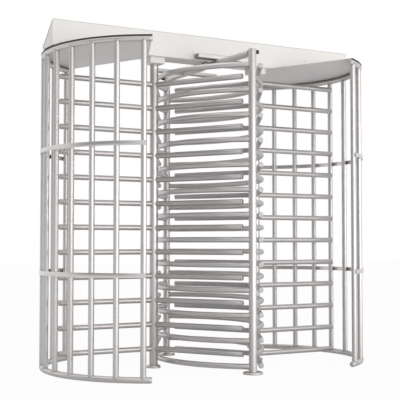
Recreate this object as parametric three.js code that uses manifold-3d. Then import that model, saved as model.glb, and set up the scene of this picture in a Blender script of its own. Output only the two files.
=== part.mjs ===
// Full height turnstile with two interlaced rotors side by side.
// Millimetres, +Z up, origin on the floor midway between the two rotor axes.
// +X runs along the header and +Y away from the side that the photograph shows.

import * as THREE from 'three';
import { mergeVertices } from 'three/addons/utils/BufferGeometryUtils.js';
import Module from 'manifold-3d';

const wasm = await Module();
wasm.setup();

// Clearances
const fitGap = 0.3; // between pieces that seat on each other
const cutOverrun = 4; // how far a cutter runs past the faces that it opens

// Rotors
const wingReach = 712; // rotor axis to the tip of an arm
const armRadius = 19;
const columnRadius = 30;
const armPitch = 170; // height between two arms of one wing
const lowestLevel = 50; // lowest arm of the right rotor
const rightTierCount = 13;
const leftTierCount = 12;
const wingAngles = [60, 180, 300]; // three wings, seen from each rotor's own side of the frame
const passingClearance = 116; // arm tip to the other rotor's column
const axisSpacing = wingReach + passingClearance + columnRadius;
const rotorOffset = axisSpacing / 2;
const sleeveWall = 3;
const sleeveHeight = 42;
const boreAllowance = 1; // a faceted bore is this much wider than what it holds
const sleeveAllowance = 1.5;

// Curved side screens
const barRadius = 19;
const railRadius = 20;
const screenClearance = 45; // arm tip to the nearest face of a bar
const screenRadius = wingReach + screenClearance + barRadius;
const barCount = 10;
const barSpanAngle = 117; // from the first bar to the last
const railOverhangAngle = 4; // rail past the last bar, each end
const railFloorGap = 2;
const bandHeight = 30;
const bandThickness = 5;
const bandOverhangAngle = 1.2;
const bandHeightShares = [0.303, 0.691]; // of the bars' length, from the lower rail

// Fixed combs between the two rotors
const combTubeRadius = 19;
const combClearance = 29; // arm tip to the inner side of a hoop
const combRadius = wingReach + combClearance + combTubeRadius;
const postRadius = 27;
const postHeadroom = 108; // top hoop of the front comb to the top of both posts
const postChamfer = 3;
const baseFlangeRadius = 68;
const baseFlangeHeight = 17;
const baseFlangeBevel = 6;

// Heights that follow from the arms
const topLevel = lowestLevel + (rightTierCount - 1) * armPitch;
const headroom = 61.6; // top arm to the underside of a bearing housing
const housingBottom = topLevel + headroom;
const housingHeight = 45;
const panBottom = housingBottom + housingHeight + fitGap;
const panelThickness = 2.4;
const panelBottom = panBottom - fitGap - panelThickness;
const railTopZ = panelBottom - fitGap - railRadius;
const railBottomZ = railFloorGap + railRadius;
const postTop = topLevel + postHeadroom;

// Floor bearings and top bearings
const pedestalRadius = 50;
const pedestalHeight = 20;
const pedestalBevel = 7;
const footPinRadius = 10;
const footPinLength = 14;
const housingLength = 120;
const housingWidth = 120;
const housingCorner = 14;
const spindleRadius = 14.7;
const spindleClearance = 1.8;
const spindleTipRadius = 12;
const spindleTipRise = 11; // above the index disc

// Header
const hoodOverhang = 25; // past the centre line of the screens, each end
const hoodLength = 2 * (rotorOffset + screenRadius + hoodOverhang);
const hoodFront = 88; // axis plane to the front face
const hoodBack = 98;
const hoodFrontHeight = 177;
const hoodBackHeight = 15;
const hoodSheet = 2.5;
const panSheet = 3;
const panLipHeight = 10;
const hingeOffset = 6; // hinge axis behind the hood's back face
const knuckleRadius = 5;
const knuckleRise = 0.5; // knuckles above the underside of the pan
const hingeRodRadius = 2.5;
const hingeStationShares = [-0.73, 0, 0.73]; // of half the hood's length
const hoodKnuckleLength = 50;
const panKnuckleLength = 30;
const knuckleGap = 0.5;
const hingeRodOverhang = 4;
const panBottomGap = fitGap; // hood's lower edge above the pan's underside

// Locking gear inside the header
const discClearance = 18; // index disc to the front face of the header
const discRadius = hoodFront - discClearance;
const discThickness = 10;
const discHeight = 8; // underside above the underside of the pan
const notchAngles = [0, 60, 120, 180, 240, 300];
const notchDepth = 14;
const noseWidth = 12;
const noseSideClearance = 5;
const noseGap = 4; // disc rim to the pawl's nose at rest
const noseLength = 5;
const leverWidth = 14;
const leverLength = 62;
const leverTail = 8;
const pawlThickness = 8;
const pawlBossRadius = 11;
const pivotRadius = 5;
const pivotShoulderRadius = 8;
const pivotShoulderHeight = 3;
const pivotTipRise = 2;
const magnetLength = 30;
const magnetWidth = 28;
const magnetHeight = 26;
const controlLength = 200;
const controlWidth = 110;
const controlHeight = 44;
const controlBackward = 5; // centre of the box in front of the axis plane

// Fittings on the hood
const lockSide = -243; // place along the header
const lockRise = 22; // axis above the hood's lower edge
const lockFaceRadius = 11;
const lockFaceThickness = 2.5;
const lockBarrelRadius = 9;
const lockBarrelLength = 22;
const camLength = 20;
const camWidth = 10;
const camThickness = 3;
const keySlotLength = 9;
const keySlotWidth = 2;
const keySlotDepth = 1.2;
const lightStart = -150;
const lightEnd = 290;
const lightDepth = 60;
const lightHeight = 31;
const lightRise = 8; // above the hood's lower edge
const lightBevel = 4;

// Tie arms from the comb posts to the header
const tieRadius = 24;
const tieInnerGap = 60; // between the two tie arms under the header
const tiePlateHalf = 42;
const tiePlateThickness = 4;
const tiePlateEnds = [-85, -6]; // under the header, across it
const crossRadius = 18;
const crossBack = 337; // axis plane to the rear tie arm's cross tube
const crossEnds = [-283, 250]; // along the header, seen from the rear
const tieCapRadius = 14;
const tieCapLength = 22;
const tieCapDrop = 20; // axis of the cap below the top of the post

// Rubber edging on the ceiling panels
const panelOverhang = 14; // panel's round edge past the rail's centre line
const panelHeadClearance = 26; // panel's inner edge to the bearing housing
const panelInnerHalf = 85;
const edgingThickness = 5;
const edgingHang = 6; // below the panel's underside, outside the rail

// Facets
const tubeSides = 8;
const railSteps = 15;
const hoopSteps = 10;
const roundSides = 20;
const sleeveSides = 12;
const pinSides = 12;
const cornerSegments = 2;

const degree = Math.PI / 180;

const satinSteel = { color: 0xbdb9b6, roughness: 0.34, metalness: 1 };
const paintedSteel = { color: 0xe8e5e0, roughness: 0.45, metalness: 0 };
const greySheet = { color: 0xa3a09e, roughness: 0.5, metalness: 0.6 };
const blackRubber = { color: 0x262423, roughness: 0.8, metalness: 0 };
const blackPlastic = { color: 0x1d1c1c, roughness: 0.5, metalness: 0 };
const zincSteel = { color: 0xa9abad, roughness: 0.4, metalness: 1 };
const boxGrey = { color: 0x8b8f92, roughness: 0.6, metalness: 0 };
const whiteDiffuser = { color: 0xf3f2ef, roughness: 0.4, metalness: 0 };

// A horizontal arc about the vertical axis, at height zero
class LevelArc extends THREE.Curve {
  constructor(radius, fromAngle, toAngle) {
    super();
    this.radius = radius;
    this.fromAngle = fromAngle * degree;
    this.toAngle = toAngle * degree;
  }

  getPoint(share, target = new THREE.Vector3()) {
    const angle = this.fromAngle + share * (this.toAngle - this.fromAngle);
    return target.set(this.radius * Math.cos(angle), this.radius * Math.sin(angle), 0);
  }
}

function solidOf(geometry) {
  const plain = geometry.clone();
  plain.deleteAttribute('normal');
  plain.deleteAttribute('uv');
  const merged = mergeVertices(plain);
  const mesh = new wasm.Mesh({
    numProp: 3,
    vertProperties: new Float32Array(merged.attributes.position.array),
    triVerts: new Uint32Array(merged.index.array),
  });
  return new wasm.Manifold(mesh);
}

function geometryOf(solid) {
  const mesh = solid.getMesh();
  const geometry = new THREE.BufferGeometry();
  geometry.setAttribute('position', new THREE.BufferAttribute(mesh.vertProperties, 3));
  geometry.setIndex(new THREE.BufferAttribute(mesh.triVerts, 1));
  geometry.computeVertexNormals();
  return geometry;
}

// Joins a list of geometries and takes a second list away
function shaped(added, removed = []) {
  let solid = solidOf(added[0]);
  for (const geometry of added.slice(1)) {
    solid = solid.add(solidOf(geometry));
  }
  for (const geometry of removed) {
    solid = solid.subtract(solidOf(geometry));
  }
  return geometryOf(solid);
}

function piece(name, geometry, finish) {
  const mesh = new THREE.Mesh(geometry, new THREE.MeshStandardMaterial(finish));
  mesh.name = name;
  return mesh;
}

// Round bar that stands on height zero
function uprightRod(radius, length, sides) {
  const rod = new THREE.CylinderGeometry(radius, radius, length, sides);
  return rod.rotateX(Math.PI / 2).translate(0, 0, length / 2);
}

// Round bar that lies along +X from the origin
function lyingRod(radius, length, sides) {
  const rod = new THREE.CylinderGeometry(radius, radius, length, sides);
  return rod.rotateZ(-Math.PI / 2).translate(length / 2, 0, 0);
}

// Round bar that lies along +Y from the origin
function backwardRod(radius, length, sides) {
  return lyingRod(radius, length, sides).rotateZ(Math.PI / 2);
}

function boxBetween(low, high) {
  const size = high.map((value, axis) => value - low[axis]);
  const middle = high.map((value, axis) => (value + low[axis]) / 2);
  return new THREE.BoxGeometry(...size).translate(...middle);
}

// Turned piece from a profile of [radius, height] points that starts and ends on the axis
function turned(profile, sides) {
  const points = profile.map(([radius, height]) => new THREE.Vector2(radius, height));
  return new THREE.LatheGeometry(points, sides).rotateX(Math.PI / 2);
}

function curvedTube(tubeRadius, arcRadius, fromAngle, toAngle, steps) {
  const section = new THREE.Shape();
  for (let side = 0; side < tubeSides; side += 1) {
    const angle = (side * 2 * Math.PI) / tubeSides;
    const point = [tubeRadius * Math.cos(angle), tubeRadius * Math.sin(angle)];
    if (side === 0) {
      section.moveTo(...point);
    } else {
      section.lineTo(...point);
    }
  }
  const extrudePath = new LevelArc(arcRadius, fromAngle, toAngle);
  return new THREE.ExtrudeGeometry(section, { steps, extrudePath });
}

function pointAt(radius, angle) {
  return new THREE.Vector2(radius * Math.cos(angle * degree), radius * Math.sin(angle * degree));
}

// Upright strip bent round the vertical axis, with a fold at each of the angles
function curvedStrip(innerRadius, thickness, height, angles) {
  const inner = angles.map((angle) => pointAt(innerRadius, angle));
  const outer = angles.map((angle) => pointAt(innerRadius + thickness, angle));
  const outline = new THREE.Shape([...outer, ...inner.reverse()]);
  return new THREE.ExtrudeGeometry(outline, { depth: height, bevelEnabled: false });
}

// Outline in [y, z], drawn out along X and centred there
function drawnAlongX(outline, length) {
  const shape = new THREE.Shape(outline.map(([y, z]) => new THREE.Vector2(y, z)));
  const geometry = new THREE.ExtrudeGeometry(shape, { depth: length, bevelEnabled: false });
  const turn = new THREE.Matrix4().makeBasis(
    new THREE.Vector3(0, 1, 0),
    new THREE.Vector3(0, 0, 1),
    new THREE.Vector3(1, 0, 0),
  );
  return geometry.applyMatrix4(turn).translate(-length / 2, 0, 0);
}

// Rotor column with its foot pin and the spindle that enters the header
function rotorColumn() {
  const pinFoot = pedestalHeight + fitGap - footPinLength;
  const bottom = pedestalHeight + fitGap;
  const top = housingBottom - fitGap;
  const shoulder = panBottom + discHeight - fitGap;
  const tip = panBottom + discHeight + discThickness + spindleTipRise;
  const profile = [
    [0, pinFoot],
    [footPinRadius - fitGap, pinFoot],
    [footPinRadius - fitGap, bottom],
    [columnRadius, bottom],
    [columnRadius, top],
    [spindleRadius, top],
    [spindleRadius, shoulder],
    [spindleTipRadius, shoulder],
    [spindleTipRadius, tip],
    [0, tip],
  ];
  return turned(profile, roundSides);
}

// One level of a rotor: a sleeve on the column that carries three arms
function rotorTier() {
  const sleeve = uprightRod(columnRadius + sleeveAllowance + sleeveWall, sleeveHeight, sleeveSides);
  sleeve.translate(0, 0, -sleeveHeight / 2);
  const arms = wingAngles.map((angle) =>
    lyingRod(armRadius, wingReach, tubeSides).rotateZ(angle * degree));
  const boreLength = sleeveHeight + 2 * cutOverrun;
  const bore = uprightRod(columnRadius + sleeveAllowance, boreLength, sleeveSides);
  bore.translate(0, 0, -boreLength / 2);
  return shaped([sleeve, ...arms], [bore]);
}

function addTiers(side, name, count, lowest) {
  for (let level = 0; level < count; level += 1) {
    const number = String(level + 1).padStart(2, '0');
    const tier = piece(`${name}_tier_${number}`, rotorTier(), satinSteel);
    tier.position.z = lowest + level * armPitch;
    side.add(tier);
  }
}

function barAngles() {
  const first = 180 - barSpanAngle / 2;
  return Array.from({ length: barCount }, (_, bar) => first + (bar * barSpanAngle) / (barCount - 1));
}

// Side screen: two curved rails and the upright bars between them
function screen() {
  const railHalf = barSpanAngle / 2 + railOverhangAngle;
  const parts = [railBottomZ, railTopZ].map((height) => {
    const rail = curvedTube(railRadius, screenRadius, 180 - railHalf, 180 + railHalf, railSteps);
    return rail.translate(0, 0, height);
  });
  for (const angle of barAngles()) {
    const rod = uprightRod(barRadius, railTopZ - railBottomZ, tubeSides);
    rod.translate(screenRadius, 0, railBottomZ).rotateZ(angle * degree);
    parts.push(rod);
  }
  return shaped(parts);
}

function screenBand() {
  const innerRadius = screenRadius + barRadius + fitGap;
  const ends = barAngles();
  const angles = [ends[0] - bandOverhangAngle, ...ends, ends.at(-1) + bandOverhangAngle];
  const band = curvedStrip(innerRadius, bandThickness, bandHeight, angles);
  return band.translate(0, 0, -bandHeight / 2);
}

// Comb: a floor post with a base flange, whose curved hoops reach round to the other comb's post
function comb(count, lowest) {
  const postAngle = Math.acos(rotorOffset / combRadius) / degree;
  const profile = [
    [0, 0],
    [baseFlangeRadius, 0],
    [baseFlangeRadius, baseFlangeHeight - baseFlangeBevel],
    [baseFlangeRadius - baseFlangeBevel, baseFlangeHeight],
    [postRadius, baseFlangeHeight],
    [postRadius, postTop - postChamfer],
    [postRadius - postChamfer, postTop],
    [0, postTop],
  ];
  const post = turned(profile, roundSides);
  post.translate(combRadius, 0, 0).rotateZ(postAngle * degree);
  const parts = [post];
  for (let level = 0; level < count; level += 1) {
    const hoop = curvedTube(combTubeRadius, combRadius, postAngle, -postAngle, hoopSteps);
    parts.push(hoop.translate(0, 0, lowest + level * armPitch));
  }
  const otherPost = uprightRod(postRadius + boreAllowance, postTop, roundSides);
  otherPost.translate(combRadius, 0, 0).rotateZ(-postAngle * degree);
  return shaped(parts, [otherPost]);
}

function pedestal() {
  const wellFloor = pedestalHeight - footPinLength;
  const profile = [
    [0, 0],
    [pedestalRadius, 0],
    [pedestalRadius, pedestalHeight - pedestalBevel],
    [pedestalRadius - pedestalBevel, pedestalHeight],
    [footPinRadius + fitGap, pedestalHeight],
    [footPinRadius + fitGap, wellFloor],
    [0, wellFloor],
  ];
  return turned(profile, roundSides);
}

function panelAngles() {
  const half = barSpanAngle / 2 + railOverhangAngle;
  return Array.from({ length: railSteps + 1 }, (_, fold) =>
    180 - half + (2 * half * fold) / railSteps);
}

// Flat ceiling sheet over one passage, from the top rail to the header
function ceilingPanel() {
  const innerEdge = -(housingLength / 2 + panelHeadClearance);
  const outline = new THREE.Shape([
    ...panelAngles().map((angle) => pointAt(screenRadius + panelOverhang, angle)),
    new THREE.Vector2(innerEdge, -panelInnerHalf),
    new THREE.Vector2(innerEdge, panelInnerHalf),
  ]);
  const panel = new THREE.ExtrudeGeometry(outline, { depth: panelThickness, bevelEnabled: false });
  return panel.translate(0, 0, panelBottom);
}

function panelEdging() {
  const innerRadius = screenRadius + panelOverhang + fitGap;
  const height = panelThickness + edgingHang;
  const strip = curvedStrip(innerRadius, edgingThickness, height, panelAngles());
  return strip.translate(0, 0, panelBottom - edgingHang);
}

function bearingHousing() {
  const halfLength = housingLength / 2;
  const halfWidth = housingWidth / 2;
  const outline = new THREE.Shape();
  const quarter = Math.PI / 2;
  const corners = [[1, 1], [-1, 1], [-1, -1], [1, -1]];
  corners.forEach(([xSide, ySide], index) => {
    const x = xSide * (halfLength - housingCorner);
    const y = ySide * (halfWidth - housingCorner);
    outline.absarc(x, y, housingCorner, index * quarter, (index + 1) * quarter, false);
  });
  const options = { depth: housingHeight, bevelEnabled: false, curveSegments: cornerSegments };
  const block = new THREE.ExtrudeGeometry(outline, options).translate(0, 0, housingBottom);
  const boreLength = housingHeight + 2 * cutOverrun;
  const bore = uprightRod(spindleRadius + spindleClearance, boreLength, roundSides);
  bore.translate(0, 0, housingBottom - cutOverrun);
  return shaped([block], [bore]);
}

// Disc on the spindle with a notch at each wing and halfway between them
function indexDisc() {
  const disc = uprightRod(discRadius, discThickness, roundSides);
  const boreLength = discThickness + 2 * cutOverrun;
  const bore = uprightRod(spindleTipRadius + boreAllowance / 2, boreLength, roundSides);
  bore.translate(0, 0, -cutOverrun);
  const halfNotch = noseWidth / 2 + noseSideClearance;
  const notches = notchAngles.map((angle) => {
    const low = [discRadius - notchDepth, -halfNotch, -cutOverrun];
    const high = [discRadius + cutOverrun, halfNotch, discThickness + cutOverrun];
    return boxBetween(low, high).rotateZ(angle * degree);
  });
  return shaped([disc], [bore, ...notches]).translate(0, 0, panBottom + discHeight);
}

// Lever beside the disc, drawn with its pivot at the origin
function lockPawl() {
  const half = leverWidth / 2;
  const lever = boxBetween([-half, 0, 0], [half, leverLength + leverTail, pawlThickness]);
  const noseLow = [-half - noseLength, leverLength - noseWidth / 2, 0];
  const noseHigh = [0, leverLength + noseWidth / 2, pawlThickness];
  const boss = uprightRod(pawlBossRadius, pawlThickness, pinSides);
  const boreLength = pawlThickness + 2 * cutOverrun;
  const bore = uprightRod(pivotRadius + boreAllowance / 2, boreLength, pinSides);
  bore.translate(0, 0, -cutOverrun);
  return shaped([lever, boxBetween(noseLow, noseHigh), boss], [bore]);
}

const leverOffset = discRadius + noseGap + noseLength + leverWidth / 2;
const panTop = panBottom + panSheet;
const pawlBottom = panTop + pivotShoulderHeight + fitGap;

function lockMagnet() {
  const near = leverOffset + leverWidth / 2 + fitGap;
  const low = [near, -magnetWidth / 2, panTop + fitGap];
  const high = [near + magnetLength, magnetWidth / 2, panTop + fitGap + magnetHeight];
  return boxBetween(low, high);
}

const hoodBottom = panBottom + panBottomGap;
const hoodFrontTop = hoodBottom + hoodFrontHeight;
const hoodBackTop = hoodBottom + hoodBackHeight;
const roofFall = (hoodFrontTop - hoodBackTop) / (hoodFront + hoodBack);
const hingeY = hoodBack + hingeOffset;
const hingeZ = panBottom + knuckleRise + knuckleRadius;

// Height of the sloping roof at a place across the header
function roofHeight(y) {
  return hoodFrontTop - roofFall * (y + hoodFront);
}

function hingeStations() {
  return hingeStationShares.map((share) => (share * hoodLength) / 2);
}

function knuckle(centre, length) {
  return lyingRod(knuckleRadius, length, pinSides).translate(centre - length / 2, hingeY, hingeZ);
}

// Centres of the two pan knuckles that stand beside each hood knuckle
function panKnuckleCentres() {
  const away = (hoodKnuckleLength + panKnuckleLength) / 2 + knuckleGap;
  return hingeStations().flatMap((station) => [station - away, station + away]);
}

function hingeBore() {
  const bore = lyingRod(hingeRodRadius + boreAllowance / 2, hoodLength, pinSides);
  return bore.translate(-hoodLength / 2, hingeY, hingeZ);
}

// Floor of the header, with a front lip, pivots for the pawls and its hinge knuckles
function headerPan() {
  const length = hoodLength - 2 * (hoodSheet + fitGap);
  const front = -(hoodFront - hoodSheet - fitGap);
  const outline = [
    [front, panBottom],
    [hoodBack, panBottom],
    [hoodBack, panTop],
    [front + panSheet, panTop],
    [front + panSheet, panBottom + panLipHeight],
    [front, panBottom + panLipHeight],
  ];
  const added = [drawnAlongX(outline, length)];
  const removed = [hingeBore()];
  for (const turn of [0, Math.PI]) {
    const pivotX = -rotorOffset + leverOffset;
    const shoulder = uprightRod(pivotShoulderRadius, panSheet + pivotShoulderHeight, pinSides);
    const pinLength = panSheet + pivotShoulderHeight + fitGap + pawlThickness + pivotTipRise;
    const pin = uprightRod(pivotRadius, pinLength, pinSides);
    for (const post of [shoulder, pin]) {
      added.push(post.translate(pivotX, -leverLength, panBottom).rotateZ(turn));
    }
    const hole = uprightRod(spindleRadius + spindleClearance, panSheet + 2 * cutOverrun, roundSides);
    removed.push(hole.translate(-rotorOffset, 0, panBottom - cutOverrun).rotateZ(turn));
  }
  for (const centre of panKnuckleCentres()) {
    const half = panKnuckleLength / 2;
    const tabLow = [centre - half, hoodBack - panSheet, panBottom];
    const tabHigh = [centre + half, hingeY, panTop];
    added.push(knuckle(centre, panKnuckleLength), boxBetween(tabLow, tabHigh));
  }
  return shaped(added, removed);
}

// Folded hood: front face, sloping roof, back lip, two ends and its hinge knuckles
function headerHood() {
  const roofSheet = hoodSheet * Math.hypot(1, roofFall);
  const innerFront = -hoodFront + hoodSheet;
  const innerBack = hoodBack - hoodSheet;
  const lipBottom = panTop + fitGap;
  const outline = [
    [-hoodFront, hoodBottom],
    [hoodBack, hoodBottom],
    [hoodBack, hoodBackTop],
    [-hoodFront, hoodFrontTop],
  ];
  const hollow = [
    [innerFront, hoodBottom - cutOverrun],
    [innerBack, hoodBottom - cutOverrun],
    [innerBack, roofHeight(innerBack) - roofSheet],
    [innerFront, roofHeight(innerFront) - roofSheet],
  ];
  const innerLength = hoodLength - 2 * hoodSheet;
  const lipLow = [-innerLength / 2, innerBack - cutOverrun, hoodBottom - cutOverrun];
  const lipHigh = [innerLength / 2, hoodBack + cutOverrun, lipBottom];
  const hollows = [drawnAlongX(hollow, innerLength), boxBetween(lipLow, lipHigh)];
  const added = [shaped([drawnAlongX(outline, hoodLength)], hollows)];
  for (const station of hingeStations()) {
    const half = hoodKnuckleLength / 2;
    const tabLow = [station - half, innerBack, hingeZ];
    const tabHigh = [station + half, hingeY, hingeZ + hoodSheet];
    added.push(knuckle(station, hoodKnuckleLength), boxBetween(tabLow, tabHigh));
  }
  const lockHole = backwardRod(lockBarrelRadius + boreAllowance / 2, 2 * cutOverrun, roundSides);
  lockHole.translate(lockSide, -hoodFront - cutOverrun + hoodSheet, hoodBottom + lockRise);
  return shaped(added, [hingeBore(), lockHole]);
}

function hingeRod() {
  const away = hoodKnuckleLength / 2 + knuckleGap + panKnuckleLength + hingeRodOverhang;
  const reach = hingeStations().at(-1) + away;
  return lyingRod(hingeRodRadius, 2 * reach, pinSides).translate(-reach, hingeY, hingeZ);
}

// Turning plug of the cover lock with its cam, drawn with its axis along Y from the origin
function keyLock() {
  const face = backwardRod(lockFaceRadius, lockFaceThickness, roundSides);
  face.translate(0, -lockFaceThickness - fitGap, 0);
  const barrel = backwardRod(lockBarrelRadius, lockBarrelLength, roundSides);
  barrel.translate(0, -lockFaceThickness / 2 - fitGap, 0);
  const camBack = lockBarrelLength - lockFaceThickness / 2 - fitGap;
  const camLow = [-camWidth / 2, camBack - camThickness, -camLength + camWidth / 2];
  const camHigh = [camWidth / 2, camBack, camWidth / 2];
  const outside = -lockFaceThickness - fitGap;
  const slotLow = [-keySlotWidth / 2, outside - cutOverrun, -keySlotLength / 2];
  const slotHigh = [keySlotWidth / 2, outside + keySlotDepth, keySlotLength / 2];
  return shaped([face, barrel, boxBetween(camLow, camHigh)], [boxBetween(slotLow, slotHigh)]);
}

// Long light fitting on the front face of the hood
function passageLight() {
  const back = -hoodFront - fitGap;
  const front = back - lightDepth;
  const bottom = hoodBottom + lightRise;
  const top = bottom + lightHeight;
  const outline = [
    [back, bottom],
    [back, top],
    [front + lightBevel, top],
    [front, top - lightBevel],
    [front, bottom + lightBevel],
    [front + lightBevel, bottom],
  ];
  const length = lightEnd - lightStart;
  return drawnAlongX(outline, length).translate((lightStart + lightEnd) / 2, 0, 0);
}

function controlBox() {
  const low = [-controlLength / 2, -controlBackward - controlWidth / 2, panTop + fitGap];
  const high = [controlLength / 2, -controlBackward + controlWidth / 2, panTop + fitGap + controlHeight];
  return boxBetween(low, high);
}

const postY = -Math.sqrt(combRadius ** 2 - rotorOffset ** 2);
const tieHeight = panBottom - fitGap - tieRadius;
const crossHeight = panBottom - fitGap - crossRadius;

function postClearance() {
  const cutter = uprightRod(postRadius + fitGap, 2 * (tieRadius + cutOverrun), roundSides);
  return cutter.translate(0, postY, tieHeight - tieRadius - cutOverrun);
}

// Horizontal tube from a post to the underside of the header, with its fixing plate; the rear one
// carries a cross tube
function tieArm(crossed) {
  const length = -postY - tieInnerGap / 2;
  const tube = backwardRod(tieRadius, length, roundSides).translate(0, postY, tieHeight);
  const plateTop = panBottom - fitGap;
  const [near, far] = tiePlateEnds;
  const plateLow = [-tiePlateHalf, near, plateTop - tiePlateThickness];
  const plate = boxBetween(plateLow, [tiePlateHalf, far, plateTop]);
  const parts = [tube, plate];
  if (crossed) {
    const [start, end] = crossEnds;
    const cross = lyingRod(crossRadius, end - start, roundSides);
    parts.push(cross.translate(start, -crossBack, crossHeight));
  }
  return shaped(parts, [postClearance()]);
}

// Cap on the cross bolt that holds the tie arm, at the side of the post and clear of the arm's side
function tieCap() {
  const start = tieRadius + fitGap;
  const length = postRadius + fitGap + tieCapLength - start;
  const cap = lyingRod(tieCapRadius, length, roundSides);
  cap.translate(start, postY, postTop - tieCapDrop);
  return shaped([cap], [postClearance()]);
}

// Everything that stands about one rotor axis, drawn for the left side
function addSide(turnstile, name, turn, tierCount, lowest, combName) {
  const side = new THREE.Group();
  side.position.x = turn === 0 ? -rotorOffset : rotorOffset;
  side.rotation.z = turn;
  side.add(piece(`${name}_rotor_column`, rotorColumn(), satinSteel));
  addTiers(side, name, tierCount, lowest);
  side.add(piece(`${name}_index_disc`, indexDisc(), zincSteel));
  side.add(piece(`${name}_screen`, screen(), satinSteel));
  bandHeightShares.forEach((share, index) => {
    const band = piece(`${name}_band_${index + 1}`, screenBand(), satinSteel);
    band.position.z = railBottomZ + share * (railTopZ - railBottomZ);
    side.add(band);
  });
  side.add(piece(`${name}_ceiling_panel`, ceilingPanel(), greySheet));
  side.add(piece(`${name}_panel_edging`, panelEdging(), blackRubber));
  side.add(piece(`${name}_pedestal`, pedestal(), satinSteel));
  side.add(piece(`${name}_bearing_housing`, bearingHousing(), paintedSteel));
  side.add(piece(combName, comb(tierCount, lowest), satinSteel));
  const pawl = piece(`${name}_lock_pawl`, lockPawl(), zincSteel);
  pawl.position.set(leverOffset, -leverLength, pawlBottom);
  side.add(pawl);
  side.add(piece(`${name}_lock_magnet`, lockMagnet(), blackPlastic));
  turnstile.add(side);
}

function addTies(turnstile) {
  for (const [name, turn] of [['front', 0], ['rear', Math.PI]]) {
    const end = new THREE.Group();
    end.rotation.z = turn;
    end.add(piece(`${name}_tie_arm`, tieArm(name === 'rear'), satinSteel));
    end.add(piece(`${name}_tie_cap`, tieCap(), blackPlastic));
    turnstile.add(end);
  }
}

function addHeader(turnstile) {
  turnstile.add(piece('header_pan', headerPan(), paintedSteel));
  turnstile.add(piece('header_hood', headerHood(), paintedSteel));
  turnstile.add(piece('hood_hinge_rod', hingeRod(), zincSteel));
  turnstile.add(piece('control_box', controlBox(), boxGrey));
  turnstile.add(piece('passage_light', passageLight(), whiteDiffuser));
  const lock = piece('key_lock', keyLock(), zincSteel);
  lock.position.set(lockSide, -hoodFront, hoodBottom + lockRise);
  turnstile.add(lock);
}

const turnstile = new THREE.Group();
const leftLowest = lowestLevel + armPitch / 2;
addSide(turnstile, 'left', 0, leftTierCount, leftLowest, 'rear_comb');
addSide(turnstile, 'right', Math.PI, rightTierCount, lowestLevel, 'front_comb');
addTies(turnstile);
addHeader(turnstile);

export default turnstile;
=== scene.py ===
import math

import bmesh
import bpy
import numpy as np
from mathutils import Matrix, Vector


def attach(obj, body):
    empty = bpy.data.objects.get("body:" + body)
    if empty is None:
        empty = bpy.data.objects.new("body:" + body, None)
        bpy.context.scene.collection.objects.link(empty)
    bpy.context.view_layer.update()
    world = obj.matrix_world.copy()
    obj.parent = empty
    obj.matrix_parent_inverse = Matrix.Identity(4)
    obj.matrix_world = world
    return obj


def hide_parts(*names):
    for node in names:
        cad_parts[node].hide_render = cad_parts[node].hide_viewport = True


# Twin full height turnstile, in metres, on the floor midway between its two rotor axes.
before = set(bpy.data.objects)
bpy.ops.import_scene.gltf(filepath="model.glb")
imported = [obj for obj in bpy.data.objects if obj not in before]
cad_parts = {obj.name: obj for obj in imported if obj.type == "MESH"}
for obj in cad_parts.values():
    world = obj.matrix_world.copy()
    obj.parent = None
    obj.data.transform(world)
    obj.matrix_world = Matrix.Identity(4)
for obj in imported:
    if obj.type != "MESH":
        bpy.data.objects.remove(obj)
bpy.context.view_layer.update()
print("frame loaded:", len(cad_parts), "solids")

# what both halves share; the right half is the left one turned half round
layout = {
    "axisOffset": 0.429,
    "armPitch": 0.170,
    "wingAngles": (60, 120, 3),  # first wing, step, how many
    "columnRadius": 0.030,
}
halves = {
    "left": {"turn": 0.0, "lowest": 0.135, "levels": 12, "comb": "rear"},
    "right": {"turn": math.pi, "lowest": 0.050, "levels": 13, "comb": "front"},
}
quarterTurn = math.pi / 2


def halfMatrix(half):
    # from a rotor's own axis to its place in the machine
    middle = Vector((-layout["axisOffset"], 0, 0))
    return Matrix.Rotation(halves[half]["turn"], 4, "Z") @ Matrix.Translation(middle)


def levelsOf(half):
    # the heights at which a half repeats its arms and its hoops
    facts = halves[half]
    return {
        "centre": (0, 0, facts["lowest"]),
        "levels": facts["levels"],
        "step": (0, 0, layout["armPitch"]),
    }


class Wire:
    # one output of a node; arithmetic on it adds the Math nodes that it needs
    def __init__(self, recipe, socket):
        self.recipe = recipe
        self.socket = socket

    def worked(self, operation, *values):
        sockets = dict(enumerate(values))
        return self.recipe.make("ShaderNodeMath", {"operation": operation}, sockets)

    def __add__(self, other):
        return self.worked("ADD", self, other)

    def __radd__(self, other):
        return self.worked("ADD", other, self)

    def __sub__(self, other):
        return self.worked("SUBTRACT", self, other)

    def __rsub__(self, other):
        return self.worked("SUBTRACT", other, self)

    def __mul__(self, other):
        return self.worked("MULTIPLY", self, other)

    def __rmul__(self, other):
        return self.worked("MULTIPLY", other, self)

    def __truediv__(self, other):
        return self.worked("DIVIDE", self, other)

    def kept(self):
        # held between 0 and 1
        return self.worked("MINIMUM", self.worked("MAXIMUM", self, 0.0), 1.0)

    def around(self, swing):
        # a noise about its middle, as a change to something else
        return (self - 0.5) * swing

    def contrasted(self, by):
        # a noise spread wider about its middle
        return (self * by - (by - 1) / 2).kept()

    def beside(self, out):
        # another output of the same node
        return Wire(self.recipe, self.socket.node.outputs[out])


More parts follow.
